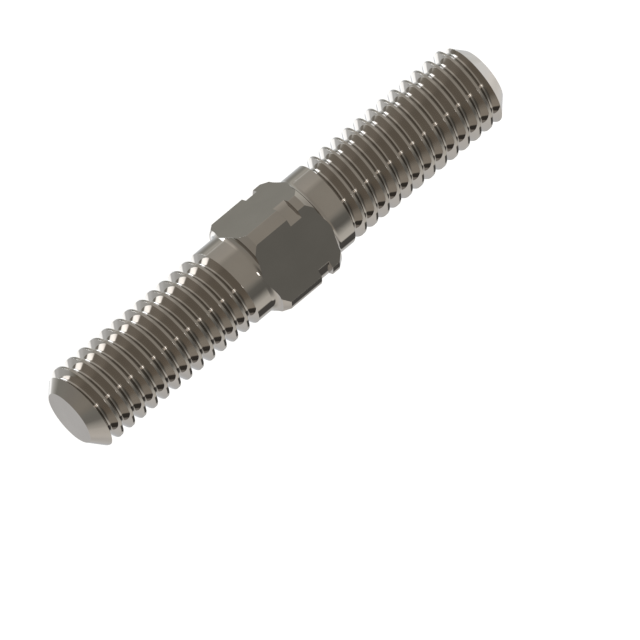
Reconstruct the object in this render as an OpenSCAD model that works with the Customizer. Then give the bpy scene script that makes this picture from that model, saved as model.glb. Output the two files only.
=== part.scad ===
// Turnbuckle rod: one turned and milled piece with a right-hand thread on one end,
// a left-hand thread on the other and a square block for a wrench in the middle.
// Turning the block screws both ends in or out of their rod ends at once.
// X runs along the rod towards the right-hand thread, Z points up, and the origin
// is the middle of the rod. It lies on one flat of the block.

/* [Rod] */
// Length from end face to end face
rod_length = 18; // [14:0.5:40]
// Length of the bevel at each end, at 45 degrees
end_chamfer = 0.5; // [0.2:0.05:0.6]

/* [Thread] */
// Outside diameter of the threads and the plain necks (nominal 3)
thread_d = 2.98; // [2.5:0.02:3.2]
// Advance of the thread in one turn
pitch = 0.5; // [0.35:0.05:0.6]
// Plain neck between the block's fillet and the start of the thread
neck_length = 0.5; // [0.3:0.05:1.5]
// Turns over which the thread groove fades out at the neck and at the end bevel
runout_turns = 0.5; // [0.25:0.25:1]
// Angle round the rod at which the thread groove starts
start_angle = -65; // [-180:5:180]

/* [Block] */
// Distance across the wrench flats
across_flats = 3; // [2.8:0.05:3.4]
// Diameter over the turned corners of the block
corner_d = 3.8; // [3.7:0.05:4.5]
// Length of the block between its end faces
block_length = 2.56; // [2:0.02:6]
// Length of the bevel that turns the corners down at each end of the block
corner_bevel = 0.23; // [0.1:0.01:0.5]
// Radius of the fillet between the block's ends and the necks
neck_fillet = 0.25; // [0.1:0.01:0.3]

/* [Marker groove] */
// Diameter at the bottom of the ring groove that marks the left-hand end
groove_d = 3.5; // [3.1:0.02:3.6]
// Width of the ring groove
groove_width = 0.48; // [0.2:0.02:0.8]
// Distance of the ring groove's centre from the middle of the rod
groove_offset = 0.51; // [0.4:0.01:0.6]

/* [Hidden] */

steps_per_turn = 32;
round_steps = 96;
flank_angle = 30;
thread_depth = 0.6 * pitch;
root_flat = pitch / 8;
crest_flat = pitch - root_flat - 2 * thread_depth * tan(flank_angle);
// How far the groove cutter stands proud of the crests, less than where its turns would touch
cutter_proud = crest_flat / 4;

thread_r = thread_d / 2;
half_length = rod_length / 2;
half_block = block_length / 2;
block_end_r = thread_r + neck_fillet;
thread_start = half_block + neck_fillet + neck_length;
thread_end = half_length - end_chamfer / 2;
thread_turns = (thread_end - thread_start) / pitch;

// Trapezoid of the thread groove as [along the rod, radius] points, raised by lift
function groove_section(lift) =
    let (
        root_r = thread_r - thread_depth + lift,
        outer_r = thread_r + cutter_proud + lift,
        outer_half = root_flat / 2 + (outer_r - root_r) * tan(flank_angle)
    )
    [[-outer_half, outer_r], [-root_flat / 2, root_r], [root_flat / 2, root_r], [outer_half, outer_r]];

// Lift of the cutter at a turn: clear of the rod at the first and last, zero between the run-outs
function runout_lift(turn) =
    let (from_end = min(turn, thread_turns - turn))
    (thread_depth + cutter_proud) * max(0, 1 - from_end / runout_turns);

// Right-hand helical groove round Z, from the neck to the end bevel
module thread_groove() {
    rings = ceil(thread_turns * steps_per_turn);
    points = [
        for (i = [0 : rings])
            let (turn = i / steps_per_turn, angle = start_angle + 360 * turn)
            for (p = groove_section(runout_lift(turn)))
                [p[1] * cos(angle), p[1] * sin(angle), thread_start + p[0] + pitch * turn]
    ];
    sides = [
        for (i = [0 : rings - 1], k = [0 : 3])
            let (a = 4 * i + k, b = 4 * i + (k + 1) % 4)
            each [[a, a + 4, b], [b, a + 4, b + 4]]
    ];
    last = 4 * rings;
    ends = [[0, 1, 2, 3], [last + 3, last + 2, last + 1, last]];
    polyhedron(points, concat(ends, sides));
}

// Half section of one end, as [radius, along the rod]: bevelled block end, fillet, neck and shank
module end_profile() {
    polygon([
        [0, 0],
        [corner_d / 2, 0],
        [corner_d / 2, half_block - corner_bevel],
        [block_end_r, half_block],
        [0, half_block]
    ]);
    difference() {
        translate([0, half_block])
            square([block_end_r, neck_fillet]);
        translate([block_end_r, half_block + neck_fillet])
            circle(neck_fillet, $fn = round_steps);
    }
    polygon([
        [0, half_block],
        [thread_r, half_block],
        [thread_r, half_length - end_chamfer],
        [thread_r - end_chamfer, half_length],
        [0, half_length]
    ]);
}

// One end of the rod along +X, turned and threaded right-hand
module threaded_end() {
    rotate([0, 90, 0])
        difference() {
            rotate_extrude($fn = round_steps)
                end_profile();
            thread_groove();
        }
}

// What the mill takes off the block to leave the four flats
module flats_cut() {
    cut_length = block_length + 2 * neck_fillet;
    rotate([0, 90, 0])
        linear_extrude(cut_length, center = true)
            difference() {
                square(2 * corner_d, center = true);
                square(across_flats, center = true);
            }
}

// Ring groove across the corners on the left-hand side
module marker_groove() {
    translate([-groove_offset, 0, 0])
        rotate([0, 90, 0])
            rotate_extrude($fn = round_steps)
                translate([groove_d / 2, -groove_width / 2])
                    square([corner_d, groove_width]);
}

module turnbuckle() {
    color([0.52, 0.50, 0.46])
        difference() {
            union() {
                threaded_end();
                mirror([1, 0, 0])
                    threaded_end();
            }
            flats_cut();
            marker_groove();
        }
}

turnbuckle();
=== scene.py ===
# %% [markdown]
# # A turnbuckle rod in polished steel
#
# A turnbuckle rod joins two rod ends. One end has a right-hand thread, the other a left-hand thread, so
# turning the square block in the middle with a wrench pushes both rod ends apart or pulls them together.
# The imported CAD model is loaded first. It fixes where everything is, and the smooth visual model below is
# built around it.

import bpy
import numpy as np
from mathutils import Matrix, Vector


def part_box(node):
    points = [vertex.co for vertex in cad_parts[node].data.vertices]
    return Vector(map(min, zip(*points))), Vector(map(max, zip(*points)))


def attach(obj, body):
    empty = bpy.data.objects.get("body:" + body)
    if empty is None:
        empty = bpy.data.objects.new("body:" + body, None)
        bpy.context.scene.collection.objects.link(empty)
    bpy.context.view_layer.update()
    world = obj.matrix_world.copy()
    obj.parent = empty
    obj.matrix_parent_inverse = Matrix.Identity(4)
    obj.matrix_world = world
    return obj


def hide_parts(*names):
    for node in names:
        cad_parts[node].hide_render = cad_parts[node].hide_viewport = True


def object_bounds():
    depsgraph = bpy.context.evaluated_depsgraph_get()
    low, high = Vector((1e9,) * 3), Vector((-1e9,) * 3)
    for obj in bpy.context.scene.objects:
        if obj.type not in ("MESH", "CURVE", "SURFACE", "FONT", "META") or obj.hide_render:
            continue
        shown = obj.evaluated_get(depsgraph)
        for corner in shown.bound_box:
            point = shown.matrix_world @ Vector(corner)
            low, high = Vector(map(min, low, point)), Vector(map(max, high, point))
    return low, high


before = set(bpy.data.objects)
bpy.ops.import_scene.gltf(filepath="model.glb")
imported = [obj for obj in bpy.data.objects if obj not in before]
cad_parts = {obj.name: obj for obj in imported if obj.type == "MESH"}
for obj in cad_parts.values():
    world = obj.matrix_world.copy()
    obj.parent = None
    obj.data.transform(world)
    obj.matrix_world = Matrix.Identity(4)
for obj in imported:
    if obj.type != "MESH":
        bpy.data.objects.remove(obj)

cad_low, cad_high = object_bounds()
print("CAD box, mm:", [round(1000 * (b - a), 3) for a, b in zip(cad_low, cad_high)])

# %% [markdown]
# ## One skin for the whole rod
#
# The rod is a single piece of steel: turned round, milled square in the middle and threaded at both ends.
# It could be joined from primitives with booleans, but polished metal shows every facet and pinched normal
# in its reflections. So it is one closed skin of rings and columns: each column runs along the rod, and the
# columns are numbered by angle, the same way in the block, the threads and the ends. Neighbouring parts
# then share their rings exactly. All lengths here are in millimetres.

# %% Measures that all parts of the rod share
millimetre = 0.001
half_length = 1000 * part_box("turnbuckle")[1].x
rod_radius = 1.49
columns = 128
column_degrees = 360 / columns
end_bevel = 0.5
bevel_x = half_length - end_bevel
neck_ring_x = 1.98
end_ring_gap = 0.015
end_ring_x = half_length - end_ring_gap


def round_the_rod(x, radius, degrees):
    """Points from x, a radius and an angle: (x, radius*sin(angle), -radius*cos(angle))."""
    a = np.radians(degrees)
    return np.stack(np.broadcast_arrays(x, radius * np.sin(a), -radius * np.cos(a)), axis=-1)


def smooth_min(a, b, blend):
    """The smaller of two heights, rounded where they meet: the minimum, less blend/4 times the square of
    (1 - |a-b|/blend) wherever the two differ by less than blend."""
    return np.minimum(a, b) - blend / 4 * np.clip(1 - np.abs(a - b) / blend, 0, None) ** 2


def grid_triangles(number):
    """Two triangles for each cell of a grid of vertex numbers, rows along the rod and columns by rising
    angle, so that they face outwards. A cell that has closed up to a line or a point loses the triangles
    without area."""
    a, b = number[:-1, :-1].ravel(), number[:-1, 1:].ravel()
    c, d = number[1:, 1:].ravel(), number[1:, :-1].ravel()
    found = np.concatenate([np.stack([a, b, c], axis=1), np.stack([a, c, d], axis=1)])
    p, q, r = found.T
    return found[(p != q) & (q != r) & (r != p)]


print("rod", 2 * half_length, "mm long,", columns, "columns round it")

# %% [markdown]
# ## The turned outline of the block
#
# Before it is milled, the middle of the rod is a turned shape: neck, hollow fillet, bevelled shoulder, a
# collar with a ring groove on the left-hand side, and the same again. A lathe leaves no perfectly sharp
# edge, and the thin bright lines on the real edges come from tiny radii, here 0.02 mm at the shoulders and
# 0.004 mm elsewhere. A bevel modifier could round them, but rounding the outline itself gives every ring a
# known place.

# %% Rounded outline
def rounded_outline(corners, radii, steps, hold=0.02):
    """Outline through corner points, with an arc of so many steps at each inner corner.

    A corner's sides run along unit vectors d and e and turn by an angle t. Its arc of radius r starts
    r*tan(t/2) before the corner, and its point at an angle f from 0 to t is that start, plus r*sin(f) along
    d, plus r*(1-cos(f)) along the normal of d on the inside of the turn. One more point on each side, at
    most hold away, keeps the straight side's shading flat. All arcs are worked out with the most steps, and
    the coarser ones keep every second, third or fourth point.
    """
    side = np.diff(corners, axis=0)
    length = np.linalg.norm(side, axis=1)
    side = side / length[:, None]
    d, e = side[:-1], side[1:]
    turn = np.arctan2(d[:, 0] * e[:, 1] - d[:, 1] * e[:, 0], np.sum(d * e, axis=1))
    reach = radii * np.tan(np.abs(turn) / 2)
    straight = length - np.append(0, reach) - np.append(reach, 0)
    gap = np.minimum(hold, straight / 3)
    inward = np.sign(turn)[:, None] * np.stack([-d[:, 1], d[:, 0]], axis=1)
    start = corners[1:-1] - reach[:, None] * d
    most = steps.max()
    f = np.linspace(0, 1, most + 1) * np.abs(turn)[:, None]
    arc = start[:, None] + radii[:, None, None] * (
        np.sin(f)[..., None] * d[:, None] + (1 - np.cos(f))[..., None] * inward[:, None]
    )
    before = arc[:, :1] - (gap[:-1, None] * d)[:, None]
    after = arc[:, -1:] + (gap[1:, None] * e)[:, None]
    kept = np.arange(most + 1) % (most // steps)[:, None] == 0
    kept = np.pad(kept, ((0, 0), (1, 1)), constant_values=True)
    bends = np.concatenate([before, arc, after], axis=1)[kept]
    return np.concatenate([corners[:1], bends, corners[-1:]])


collar_radius, shoulder_radius, groove_radius = 1.90, 1.74, 1.75
shoulder_x, collar_x = 1.28, 1.05
groove_left, groove_right, wall_draft = -0.75, -0.27, 0.004
fillet, shoulder, edge = 0.241, 0.020, 0.004
fillet_steps, edge_steps = 16, 4
neck_rings = 9

right_half = np.array([
    [collar_x, collar_radius],
    [shoulder_x, shoulder_radius],
    [shoulder_x + wall_draft, rod_radius],
    [neck_ring_x, rod_radius],
])
left_half = right_half[::-1] * [-1, 1]
groove = np.array([
    [groove_left, collar_radius],
    [groove_left + wall_draft, groove_radius],
    [groove_right - wall_draft, groove_radius],
    [groove_right, collar_radius],
])
bend_radii = np.array([fillet, shoulder] + 6 * [edge] + [shoulder, fillet])
bend_steps = np.array([fillet_steps] + 8 * [edge_steps] + [fillet_steps])
bends = rounded_outline(np.concatenate([left_half, groove, right_half]), bend_radii, bend_steps)
neck_x = np.linspace(neck_ring_x, bends[-2, 0], neck_rings)[:-1]
neck = np.stack([neck_x, np.full_like(neck_x, rod_radius)], axis=1)
outline = np.concatenate([neck * [-1, 1], bends[1:-1], neck[::-1]])
print("outline of", len(outline), "rings, x from", outline[0, 0], "to", outline[-1, 0])

# %% [markdown]
# ## The four wrench flats
#
# A milling cutter takes four flats off the turned collar, 3 mm apart, and leaves a strip of the turned
# surface at each corner. Cutting the mesh would leave stray edges. Instead each ring is the smaller of the
# circle and the square, and its columns slide so that some of them run exactly along the flats' edges.
# Towards the necks they slide back to even spacing, to meet the threads.

# %% Angles of the columns
flat_distance = 1.5
flats_past_shoulder = 0.25
flats_end_x = shoulder_x + flats_past_shoulder


def column_angles(x, radius):
    """Angles of the columns on each ring, in degrees.

    A circle of this radius meets the flat at arccos(flat distance / radius) from the flat's middle. Over
    half a quadrant the columns stand evenly up to that edge, close together across it, and evenly on to the
    corner. The other half mirrors it, and the four quadrants repeat. On the necks the angles blend into
    even steps.
    """
    step, nearest = 0.1, 6
    edge_angle = np.degrees(np.arccos(np.minimum(flat_distance / radius, 1)))[:, None]
    edge_angle = np.maximum(edge_angle, nearest)
    on_flat = (edge_angle - 2 * step) * np.array([0, 0.6, 1])
    across = edge_angle + step * np.array([-1, -0.4, 0.4, 1, 2])
    on_collar = across[:, -1:] + (45 - across[:, -1:]) * np.linspace(0, 1, columns // 8 - 6)[1:]
    half = np.concatenate([on_flat, across, on_collar], axis=1)
    quadrant = np.concatenate([half, 90 - half[:, -2:0:-1]], axis=1)
    even = np.arange(columns // 4) * column_degrees
    t = np.clip((np.abs(x) - flats_end_x) / (neck_ring_x - flats_end_x), 0, 1)[:, None]
    quadrant = quadrant + (even - quadrant) * t * t * (3 - 2 * t)
    return np.concatenate([quadrant + 90 * q for q in range(4)], axis=1)


ring_x, ring_radius = outline.T
ring_angle = column_angles(ring_x, ring_radius)
closest = np.diff(ring_angle, axis=1).min()
print(columns, "columns on", len(ring_angle), "rings, the closest", round(closest, 3), "degrees apart")

# %% Rings that are round, square or both
flat_edge_blend = 0.003
just_touching = 0.999
from_flat = 45 - np.abs(np.mod(ring_angle, 90) - 45)
flat_radius = flat_distance / np.cos(np.radians(from_flat))
milled_here = (np.abs(ring_x) < flats_end_x)[:, None]
edge_slope = np.tan(np.arccos(np.minimum(flat_distance / ring_radius, just_touching)))[:, None]
rounded = smooth_min(ring_radius[:, None], flat_radius, flat_edge_blend * edge_slope)
block_radius = np.where(milled_here, rounded, ring_radius[:, None])
block_points = round_the_rod(ring_x[:, None], block_radius, ring_angle)
block_milled = (milled_here & (flat_radius < ring_radius[:, None])).astype(float)

ring_count = len(outline)
block_number = np.arange(ring_count * columns).reshape(ring_count, columns)
block_number = np.append(block_number, block_number[:, :1], axis=1)
block_triangles = grid_triangles(block_number)
print("block and necks:", len(block_triangles), "triangles,", int(block_milled.sum()), "points on the flats")

# %% [markdown]
# ## The threads
#
# A thread is one groove profile carried along a helix. A screw modifier makes that too, but it leaves the
# ends open. Here the surface is a function of two parameters: the angle, which keeps growing turn after
# turn, and the distance across the groove. Rows that would pass the neck or the end are held on the ring
# there, so the helix closes onto both rings without a seam. Over the last half turn the groove fades out,
# as where a die is backed off. The left-hand thread is the same end seen in a mirror. Compared with the
# solid, the root is wider and rounder by about a hundredth of a millimetre and the flanks are a degree
# steeper, because the bright and dark stripes then lie as on the real rod.

# %% Profile of the groove
pitch = 0.5
groove_depth = 0.6 * pitch
root_half, flank_slope = 0.04, 1.8
root_blend, crest_blend, bevel_blend = 0.044, 0.003, 0.004
thread_start, start_angle = 2.03, -65
thread_turns = (half_length - end_bevel / 2 - thread_start) / pitch
runout_turns, runout_lift = 0.5, 1.08


def root_radius(turn):
    """Radius of the root at a turn: the full depth, lifted towards both ends of the helix in step with the
    turns left, until the groove clears the rod."""
    left = np.minimum(turn, thread_turns - turn)
    return rod_radius - groove_depth * (1 - runout_lift * np.clip(1 - left / runout_turns, 0, None))


def thread_radius(turn, across, x):
    """Radius of the thread at a turn, a distance across the groove and a distance along the rod.

    The root is flat, and beyond its half width the flanks rise at the flank's slope. Root and flank meet in
    a smooth maximum, and the result meets the crest cylinder and the 45 degree end cone in smooth minima.
    """
    root = root_radius(turn)
    flank = root + (np.abs(across) - root_half) * flank_slope
    groove = -smooth_min(-root, -flank, root_blend)
    cone = rod_radius - (x - bevel_x)
    return smooth_min(smooth_min(rod_radius, groove, crest_blend), cone, bevel_blend)


print("flanks", round(np.degrees(np.arctan(1 / flank_slope)), 1), "degrees from upright")

# %% Rows and columns of the helix
root_rows = root_half + np.array([-0.025, -0.0125, 0, 0.0125, 0.025])
edge_rows = np.array([-0.006, -0.0016, 0, 0.0016, 0.006])
narrowest_flank = 0.034


def rows_beside(turn, side):
    """Distances of the rows from the groove's middle at each turn, towards the end (side 1) or the neck
    (side -1).

    The flank runs out on the crest where it has risen by the groove's depth, or sooner on the end cone,
    which falls by 1 along the rod. Rows stand close together at both edges of the flank, and the last one
    is half a pitch away.
    """
    rise = rod_radius - root_radius(turn) + root_half * flank_slope
    on_cone = (rise - (thread_start + pitch * turn - bevel_x)) / (flank_slope + side)
    flank_end = np.maximum(np.minimum(rise / flank_slope, on_cone), root_half + narrowest_flank)
    moving = flank_end + edge_rows[:, None]
    fixed = np.repeat(np.append(root_rows, pitch / 2)[:, None], len(turn), axis=1)
    return np.concatenate([fixed[:-1], moving, fixed[-1:]])


def column_at(x):
    """Column, with its fraction, where the groove's middle is at a distance along the rod: the turns since
    the start times 360 degrees, plus the start's angle, in steps of a column."""
    return ((x - thread_start) / pitch * 360 + start_angle) / column_degrees


first = int(np.floor(column_at(neck_ring_x - pitch / 2))) - 1
last = int(np.ceil(column_at(end_ring_x + pitch / 2))) + 1
helix_column = np.arange(first, last + 1)
print("helix of", len(helix_column), "columns")

# %% One threaded end along +X
helix_angle = helix_column * column_degrees
turn = (helix_angle - start_angle) / 360
across = np.concatenate([-rows_beside(turn, -1)[::-1], rows_beside(turn, 1)])
x = thread_start + pitch * turn + across
radius = thread_radius(turn, across, x)

at_neck, at_end = x <= neck_ring_x, x >= end_ring_x
own = ~at_neck & ~at_end
own[-1] = False
number = np.zeros(x.shape, int)
number[own] = 2 * columns + np.arange(own.sum())
next_turn = np.minimum(np.arange(len(helix_column)) + columns, len(helix_column) - 1)
number[-1] = number[0, next_turn]
around = np.broadcast_to(np.mod(helix_column, columns), x.shape)
number[at_neck] = around[at_neck]
number[at_end] = columns + around[at_end]
thread_points = round_the_rod(x, radius, helix_angle)[own]
thread_triangles = grid_triangles(number)
print("one thread:", round(thread_turns, 2), "turns,", len(thread_triangles), "triangles")

# %% [markdown]
# ## The end faces
#
# Each end is faced off flat, with the edge to the bevel just broken. One polygon of 128 sides could fill
# it, but its shading would bend at the edge. So rings run in from the bevel over the edge to one point in
# the middle, which closes the skin.

# %% End ring, broken edge and face
face_edge, face_edge_steps = 0.018, 4
end_ring_radius = rod_radius - (end_ring_x - bevel_x)
face_radius = rod_radius - end_bevel
face_outline = rounded_outline(
    np.array([[end_ring_x, end_ring_radius], [half_length, face_radius], [half_length, 0.5 * face_radius]]),
    np.array([face_edge]), np.array([face_edge_steps]),
)
even_angles = np.arange(columns) * column_degrees
face_points = round_the_rod(face_outline[:, :1], face_outline[:, 1:], even_angles)
face_middle = np.array([[half_length, 0, 0]])

face_base = 2 * columns + len(thread_points)
face_rings = len(face_outline)
face_number = np.concatenate([
    columns + np.arange(columns)[None],
    face_base + np.arange((face_rings - 1) * columns).reshape(-1, columns),
    np.full((1, columns), face_base + (face_rings - 1) * columns),
])
face_triangles = grid_triangles(np.append(face_number, face_number[:, :1], axis=1))
end_points = np.concatenate([face_points[0], thread_points, face_points[1:].reshape(-1, 3), face_middle])
end_triangles = np.concatenate([thread_triangles, face_triangles])
print("one end:", len(end_points), "points,", len(end_triangles), "triangles")

# %% [markdown]
# ## Putting the skin together
#
# Both ends take their first ring from the block, so nothing has to be merged by distance. The mirrored end
# has its triangles turned round, so that it still faces outwards. A closed skin has exactly two triangles
# on every edge, which is easy to count.

# %% Block and both ends joined
def joined_end(base, neck_ring):
    """Triangles of an end whose own points start at base and whose first ring is a ring of the block."""
    table = np.concatenate([neck_ring, base + np.arange(len(end_points))])
    return table[end_triangles]


block_size = ring_count * columns
right_triangles = joined_end(block_size, block_number[-1, :-1])
left_triangles = joined_end(block_size + len(end_points), block_number[0, :-1])[:, ::-1]
points = np.concatenate([block_points.reshape(-1, 3), end_points, end_points * [-1, 1, 1]])
triangles = np.concatenate([block_triangles, right_triangles, left_triangles])

edges = np.sort(triangles[:, [0, 1, 1, 2, 2, 0]].reshape(-1, 2), axis=1)
shares = np.unique(edges, axis=0, return_counts=True)[1]
corner_a, corner_b, corner_c = points[triangles].transpose(1, 0, 2)
volume = np.sum(corner_a * np.cross(corner_b, corner_c)) / 6
print(len(triangles), "triangles,", int(np.sum(shares != 2)), "open edges,", round(volume, 1), "mm3")

# %% The rod as one mesh
rod_mesh = bpy.data.meshes.new("turnbuckle_rod")
rod_mesh.from_pydata((points * millimetre).tolist(), [], triangles.tolist())
rod_mesh.shade_smooth()
milled = rod_mesh.attributes.new("milled", "FLOAT", "POINT")
on_flats = np.append(block_milled.ravel(), np.zeros(2 * len(end_points)))
milled.data.foreach_set("value", on_flats.astype(np.float32))
rod = bpy.data.objects.new("turnbuckle_rod", rod_mesh)
bpy.context.scene.collection.objects.link(rod)
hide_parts("turnbuckle")
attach(rod, "root")
print(rod.name, "with", len(rod_mesh.polygons), "faces")

# %% [markdown]
# ## Polished steel
#
# The real rod is bright and hard polished, with a warm grey tone. Almost all that it shows is mirrored
# surroundings, so the finish is a full metal with low roughness. What is left of the machining is very
# fine: turning lines that follow the lathe round the rod, and straight grain along the milled flats. Both
# could be painted as images, but noise on the rod's own coordinates needs no picture and stays sharp.
# Turned lines depend only on the place along the rod and the radius, so the same noise draws rings on the
# necks and circles on the end faces. A broader noise, like a thin film of handling, shifts the tone and the
# gloss very slightly.

# %% Turning lines and milling grain
def add_node(tree, kind, values=None, **settings):
    """A node of this kind in the tree, with its settings and the values of its input sockets."""
    node = tree.nodes.new(kind)
    for name, value in settings.items():
        setattr(node, name, value)
    for socket, value in (values or {}).items():
        node.inputs[socket].default_value = value
    return node


def wire(tree, *links):
    """Links given as (node, output, node, input)."""
    for source, out, target, into in links:
        tree.links.new(source.outputs[out], target.inputs[into])


steel = bpy.data.materials.new("polished_steel")
steel.use_nodes = True
tree = steel.node_tree
shader = tree.nodes["Principled BSDF"]
shader.inputs["Metallic"].default_value = 1.0
shader.inputs["Specular Tint"].default_value = (0.7, 0.7, 0.7, 1)

fine = {"Detail": 3.0, "Roughness": 0.6}
place = add_node(tree, "ShaderNodeTexCoord")
split = add_node(tree, "ShaderNodeSeparateXYZ")
flattened = add_node(tree, "ShaderNodeCombineXYZ")
from_axis = add_node(tree, "ShaderNodeVectorMath", operation="LENGTH")
lathe_place = add_node(tree, "ShaderNodeCombineXYZ")
lathe_lines = add_node(tree, "ShaderNodeTexNoise", {"Scale": 30000.0, **fine}, noise_dimensions="2D")
grain_place = add_node(tree, "ShaderNodeMapping", {"Scale": (0.04, 1.0, 1.0)})
grain = add_node(tree, "ShaderNodeTexNoise", {"Scale": 40000.0, **fine})
flats = add_node(tree, "ShaderNodeAttribute", attribute_name="milled")
marks = add_node(tree, "ShaderNodeMix", data_type="FLOAT")
bump = add_node(tree, "ShaderNodeBump", {"Strength": 0.15, "Distance": 0.0000003})
wire(
    tree,
    (place, "Object", split, "Vector"),
    (split, "Y", flattened, "Y"),
    (split, "Z", flattened, "Z"),
    (flattened, "Vector", from_axis, 0),
    (split, "X", lathe_place, "X"),
    (from_axis, "Value", lathe_place, "Y"),
    (lathe_place, "Vector", lathe_lines, "Vector"),
    (place, "Object", grain_place, "Vector"),
    (grain_place, "Vector", grain, "Vector"),
    (flats, "Fac", marks, "Factor"),
    (lathe_lines, "Fac", marks, "A"),
    (grain, "Fac", marks, "B"),
    (marks, "Result", bump, "Height"),
    (bump, "Normal", shader, "Normal"),
)
print("machining marks from", len(tree.nodes), "nodes")

# %% Tone and gloss
film = add_node(tree, "ShaderNodeTexNoise", {"Scale": 900.0, "Detail": 4.0, "Roughness": 0.55})
tone = add_node(tree, "ShaderNodeValToRGB")
darker, lighter = tone.color_ramp.elements
darker.position, darker.color = 0.3, (0.478, 0.443, 0.405, 1)
lighter.position, lighter.color = 0.7, (0.514, 0.477, 0.437, 1)
gloss_range = {"From Min": 0.25, "From Max": 0.75, "To Min": 0.03, "To Max": 0.055}
gloss = add_node(tree, "ShaderNodeMapRange", gloss_range)
wire(
    tree,
    (place, "Object", film, "Vector"),
    (film, "Fac", tone, "Fac"),
    (tone, "Color", shader, "Base Color"),
    (film, "Fac", gloss, "Value"),
    (gloss, "Result", shader, "Roughness"),
)
rod_mesh.materials.append(steel)
print("finish", steel.name, "with", len(tree.nodes), "nodes")

# %% [markdown]
# ## Floor
#
# The rod lies on one flat of its block, on plain white. It could be an ordinary white sheet, but polished
# metal would mirror it and wash out. In a studio, grey cards are held round such a piece. So this floor is
# a sheet that only the camera sees: it is hidden from reflections and casts no shadow, and the metal
# mirrors the tent of the next step from all sides.

# %% White floor
floor_half = 0.4
floor_z = cad_low[2]
floor_mesh = bpy.data.meshes.new("floor")
corner = np.array([[-1, -1], [1, -1], [1, 1], [-1, 1]]) * floor_half
floor_mesh.from_pydata(np.append(corner, np.full((4, 1), floor_z), axis=1).tolist(), [], [(0, 1, 2, 3)])
floor = bpy.data.objects.new("floor", floor_mesh)
floor.visible_glossy = False
floor.visible_shadow = False
bpy.context.scene.collection.objects.link(floor)

paper = bpy.data.materials.new("white_floor")
paper.use_nodes = True
tree = paper.node_tree
tree.nodes.clear()
glow = add_node(tree, "ShaderNodeEmission", {"Strength": 0.85})
shade = add_node(tree, "ShaderNodeBsdfDiffuse", {"Color": (0.8, 0.8, 0.8, 1)})
both = add_node(tree, "ShaderNodeAddShader")
output = add_node(tree, "ShaderNodeOutputMaterial")
wire(tree, (glow, 0, both, 0), (shade, 0, both, 1), (both, 0, output, "Surface"))
floor_mesh.materials.append(paper)
print("floor at z", round(1000 * floor_z, 3), "mm")

# %% [markdown]
# ## Studio light: the tent
#
# The room is what the metal shows. It could be built from sheets and many lamps, but each one would have to
# be found again in every reflection. Here it is the world itself, a soft grey tent. Its greys are ramps
# over the angle round the rod's axis, where 0 is straight up, -90 the front, 90 the back and 180 straight
# down. The ramps follow each other along the rod: towards the left-hand end, what the necks and crests
# mirror in the main view, straight across, towards the right-hand end, and straight along that end. Most
# are mid grey in front and overhead, dark a little behind the top, and brighter at the back and below.

# %% Greys round the rod
def add_ramp(tree, stops):
    """Colour ramp over the angle round the rod's axis, from stops of (degrees, grey or colour)."""
    node = add_node(tree, "ShaderNodeValToRGB")
    elements = node.color_ramp.elements
    for stop in stops[2:]:
        elements.new(0.5)
    for element, (degrees, colour) in zip(elements, stops):
        element.position = (degrees + 180) / 360
    for element, (degrees, colour) in zip(elements, stops):
        element.color = (*np.broadcast_to(colour, 3), 1)
    return node


world = bpy.data.worlds.new("studio_tent")
world.use_nodes = True
tree = world.node_tree
tree.nodes.clear()
place = add_node(tree, "ShaderNodeTexCoord")
split = add_node(tree, "ShaderNodeSeparateXYZ")
angle = add_node(tree, "ShaderNodeMath", operation="ARCTAN2")
share = add_node(tree, "ShaderNodeMapRange", {"From Min": -np.pi, "From Max": np.pi})
wire(
    tree,
    (place, "Generated", split, "Vector"),
    (split, "Y", angle, 0),
    (split, "Z", angle, 1),
    (angle, 0, share, "Value"),
)
warm = np.array([1.08, 1.0, 0.94])
left_tent = add_ramp(tree, [
    (-180, 1.15), (-165, 0.60), (-155, 0.55), (-145, 0.66), (-130, 0.54), (-117, 0.43), (-103, 0.40),
    (-90, 0.36), (-75, 0.31), (10, 0.31), (20, 0.30 * warm), (30, 0.31 * warm), (45, 0.40 * warm),
    (55, 0.56), (68, 0.64), (90, 0.35), (110, 0.60), (130, 1.10), (180, 1.10),
])
middle_tent = add_ramp(tree, [
    (-180, 0.85), (-168, 0.54), (-160, 0.40), (-153, 0.39), (-143, 0.57), (-125, 0.45), (-90, 0.46),
    (-76, 0.34), (0, 0.345), (7, 0.31), (22, 0.175), (38, 0.155), (44, 0.205), (56, 0.46), (66, 0.64),
    (82, 0.70), (105, 0.60), (114, 0.57), (122, 0.72), (130, 0.85), (145, 0.80), (180, 0.85),
])
across_tent = add_ramp(tree, [
    (-180, 1.2), (-170, 0.85), (-162, 0.60), (-153, 0.55), (-143, 0.60), (-127, 0.66), (-115, 0.56),
    (-95, 0.60), (-85, 0.50), (-76, 0.34), (0, 0.33), (7, 0.29), (20, 0.165), (50, 0.165), (58, 0.22),
    (66, 0.38), (75, 0.64), (85, 0.80), (100, 0.70), (114, 0.55), (122, 0.72), (130, 0.85),
    (145, 0.80), (180, 0.85),
])
right_tent = add_ramp(tree, [
    (-180, 0.68), (-165, 0.47), (-155, 0.31), (-30, 0.31), (-5, 0.13), (50, 0.15), (65, 0.28),
    (85, 0.66), (110, 0.77), (180, 0.78),
])
end_tent = add_ramp(tree, [
    (-180, (0.19, 0.17, 0.14)), (-152, (0.19, 0.17, 0.14)), (-138, 0.29), (-25, 0.295), (10, 0.26),
    (45, 0.23), (58, 0.24), (75, 0.55), (90, 0.50), (110, 0.30), (180, 0.35),
])
ramps = (left_tent, middle_tent, across_tent, right_tent, end_tent)
print(len(ramps), "ramps with", sum(len(ramp.color_ramp.elements) for ramp in ramps), "stops")

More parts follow.
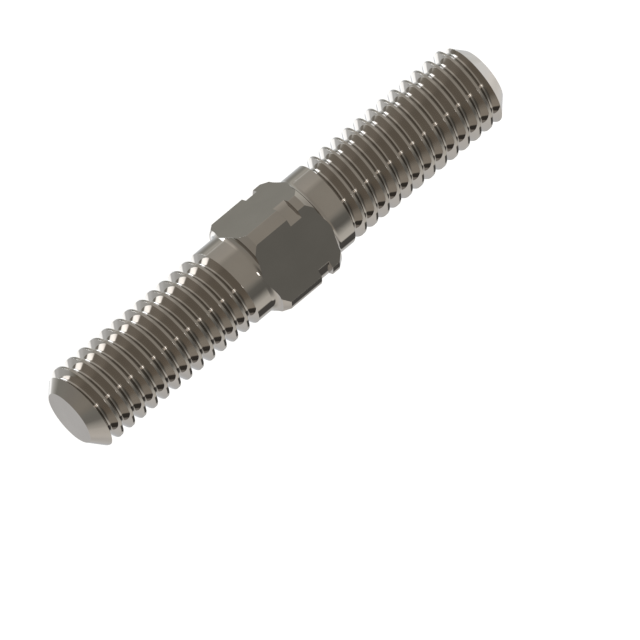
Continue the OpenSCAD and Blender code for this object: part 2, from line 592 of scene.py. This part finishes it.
# %% The ramps joined along the rod
wire(tree, *[(share, "Result", ramp, "Fac") for ramp in ramps])
tent, tent_out = left_tent, "Color"
for ramp, start, full in (
    (middle_tent, -0.62, -0.36),
    (across_tent, -0.26, -0.12),
    (right_tent, 0.05, 0.5),
    (end_tent, 0.7, 0.85),
):
    along = add_node(tree, "ShaderNodeMapRange", {"From Min": start, "From Max": full})
    joined = add_node(tree, "ShaderNodeMix", data_type="RGBA")
    wire(
        tree,
        (split, "X", along, "Value"),
        (along, "Result", joined, "Factor"),
        (tent, tent_out, joined, "A"),
        (ramp, "Color", joined, "B"),
    )
    tent, tent_out = joined, "Result"
print("tent joined from", len(ramps), "ramps")

# %% [markdown]
# ## Studio light: the cards
#
# Sharp bright and dark patches need sharp edges, so three cards hang in the tent. A bright one is low in
# front, and the thread's roots mirror it as small patches along the rod's front edge. A dark one is low at
# the back, for the dark patches along the other edge, and a small bright one is below. Planes with a glow
# would do too, but they would show up in other views. A card is a mask over the direction, and a slanted
# edge is a mask over a sum of the angle and the place along the rod.

# %% Cards in the tent
def add_band(tree, source, out, middle, half, soft):
    """Mask that is 1 round the middle of a value and falls to 0 from half - soft to half + soft away."""
    away = add_node(tree, "ShaderNodeMath", {1: middle}, operation="SUBTRACT")
    size = add_node(tree, "ShaderNodeMath", operation="ABSOLUTE")
    limits = {"From Min": half - soft, "From Max": half + soft, "To Min": 1.0, "To Max": 0.0}
    fade = add_node(tree, "ShaderNodeMapRange", limits, interpolation_type="SMOOTHSTEP")
    wire(tree, (source, out, away, 0), (away, 0, size, 0), (size, 0, fade, "Value"))
    return fade


def hang_card(tree, behind, colour, *masks):
    """The card's colour where the product of its masks is 1, and what is behind it where that is 0."""
    inside = masks[0]
    for mask in masks[1:]:
        product = add_node(tree, "ShaderNodeMath", operation="MULTIPLY")
        wire(tree, (inside, 0, product, 0), (mask, 0, product, 1))
        inside = product
    card = add_node(tree, "ShaderNodeMix", {"B": (*colour, 1)}, data_type="RGBA")
    wire(tree, (inside, 0, card, "Factor"), (behind, "Result", card, "A"))
    return card


low_slant = add_node(tree, "ShaderNodeMath", {1: 0.372}, operation="MULTIPLY_ADD")
dark_slant = add_node(tree, "ShaderNodeMath", {1: 0.7}, operation="MULTIPLY_ADD")
to_under = add_node(tree, "ShaderNodeVectorMath", {1: (0.085, 0.195, -0.977)}, operation="DOT_PRODUCT")
wire(
    tree,
    (angle, 0, low_slant, 0),
    (split, "X", low_slant, 2),
    (split, "X", dark_slant, 0),
    (angle, 0, dark_slant, 2),
    (place, "Generated", to_under, 0),
)
with_low = hang_card(
    tree, tent, (4.1, 4.4, 5.1),
    add_band(tree, angle, 0, middle=np.radians(-143.5), half=np.radians(11.5), soft=np.radians(3)),
    add_band(tree, low_slant, 0, middle=-0.878, half=0.23, soft=0.08),
)
with_dark = hang_card(
    tree, with_low, (0.10, 0.10, 0.10),
    add_band(tree, angle, 0, middle=np.radians(107), half=np.radians(19.3), soft=np.radians(2.5)),
    add_band(tree, dark_slant, 0, middle=1.25, half=0.61, soft=0.05),
    add_band(tree, split, "X", middle=-0.15, half=0.45, soft=0.05),
)
with_under = hang_card(
    tree, with_dark, (2.0, 2.0, 2.0),
    add_band(tree, to_under, "Value", middle=1.0, half=0.019, soft=0.012),
)
print("tent and cards of", len(tree.nodes), "nodes")

# %% [markdown]
# ## Studio light: tint and backdrop
#
# A real tent is never quite neutral. One more ramp multiplies its greys by a slight tint, warmer in front
# and overhead and cooler below, which is simpler than a colour at each stop. Only a few stops have one. The
# camera itself sees plain white behind the rod: the Light Path node tells its rays from the mirrored ones.

# %% Tinted tent and white backdrop
tint = add_ramp(tree, [
    (-180, (0.96, 1.0, 1.03)), (-155, (0.98, 1.0, 0.945)), (-110, (1.03, 1.0, 0.94)),
    (-60, (1.05, 1.0, 0.905)), (0, (1.05, 1.0, 0.905)), (25, (0.995, 1.0, 0.94)),
    (100, (1.02, 1.0, 0.96)), (150, (0.98, 1.0, 1.03)), (180, (0.96, 1.0, 1.03)),
])
tinted = add_node(tree, "ShaderNodeMix", {"Factor": 1.0}, data_type="RGBA", blend_type="MULTIPLY")
tent_glow = add_node(tree, "ShaderNodeBackground", {"Strength": 1.126})
backdrop = add_node(tree, "ShaderNodeBackground", {"Color": (1, 1, 1, 1)})
ray = add_node(tree, "ShaderNodeLightPath")
choose = add_node(tree, "ShaderNodeMixShader")
output = add_node(tree, "ShaderNodeOutputWorld")
wire(
    tree,
    (share, "Result", tint, "Fac"),
    (with_under, "Result", tinted, "A"),
    (tint, "Color", tinted, "B"),
    (tinted, "Result", tent_glow, "Color"),
    (ray, "Is Camera Ray", choose, "Fac"),
    (tent_glow, 0, choose, 1),
    (backdrop, 0, choose, 2),
    (choose, 0, output, "Surface"),
)
bpy.context.scene.world = world
print("world", world.name, "of", len(tree.nodes), "nodes")

# %% [markdown]
# ## Studio light: the lamp
#
# One lamp hangs far overhead and puts a small spark on each turn of the thread. A bright spot in the tent
# would do the same with more noise, because a lamp is sampled directly.

# %% Overhead lamp
def add_lamp(name, place, aim, size, radiance):
    """Area lamp of a size in metres, facing a point. Its power is pi times its area times its radiance."""
    data = bpy.data.lights.new(name, "AREA")
    data.shape = "RECTANGLE"
    data.size, data.size_y = size
    data.energy = np.pi * size[0] * size[1] * radiance
    lamp = bpy.data.objects.new(name, data)
    lamp.location = place
    lamp.rotation_euler = (Vector(aim) - Vector(place)).to_track_quat("-Z", "Y").to_euler()
    lamp.visible_camera = False
    bpy.context.scene.collection.objects.link(lamp)
    return lamp


overhead = add_lamp(
    "overhead_lamp", place=(-0.052, -0.012, 0.6), aim=(0, 0, 0), size=(0.09, 0.15), radiance=3.6,
)
print("lamp", overhead.name, "of", round(overhead.data.energy, 3), "W")

# %% [markdown]
# ## Camera
#
# The picture has no vanishing points, so the camera is orthographic. A long lens would come close, but
# would still narrow the far end. It looks down at about 60 degrees from the right-hand thread's side and is
# rolled, so that the rod runs from the lower left to the upper right. Its three axes in the rod's frame
# give its rotation directly.

# %% Orthographic camera
toward_viewer = Vector((0.30, -0.4016, 0.8653)).normalized()
picture_right = Vector((-0.733, 0.483, 0.478))
picture_right = (picture_right - picture_right.dot(toward_viewer) * toward_viewer).normalized()
picture_up = toward_viewer.cross(picture_right)
picture_pixels, pixels_per_mm = 640, 31.25
frame_width = picture_pixels / pixels_per_mm * millimetre
aside, down = 1.418, 2.349
middle = (aside * picture_right - down * picture_up) * millimetre
camera_distance = 0.1

camera_data = bpy.data.cameras.new("camera")
camera_data.type = "ORTHO"
camera_data.ortho_scale = frame_width
camera_data.clip_start, camera_data.clip_end = 0.001, 2.0
camera = bpy.data.objects.new("camera", camera_data)
turned = Matrix((picture_right, picture_up, toward_viewer)).transposed().to_4x4()
camera.matrix_world = Matrix.Translation(middle + camera_distance * toward_viewer) @ turned
bpy.context.scene.collection.objects.link(camera)
bpy.context.scene.camera = camera
bpy.context.scene.view_settings.view_transform = "Standard"
print("camera sees", round(1000 * frame_width, 2), "mm across")
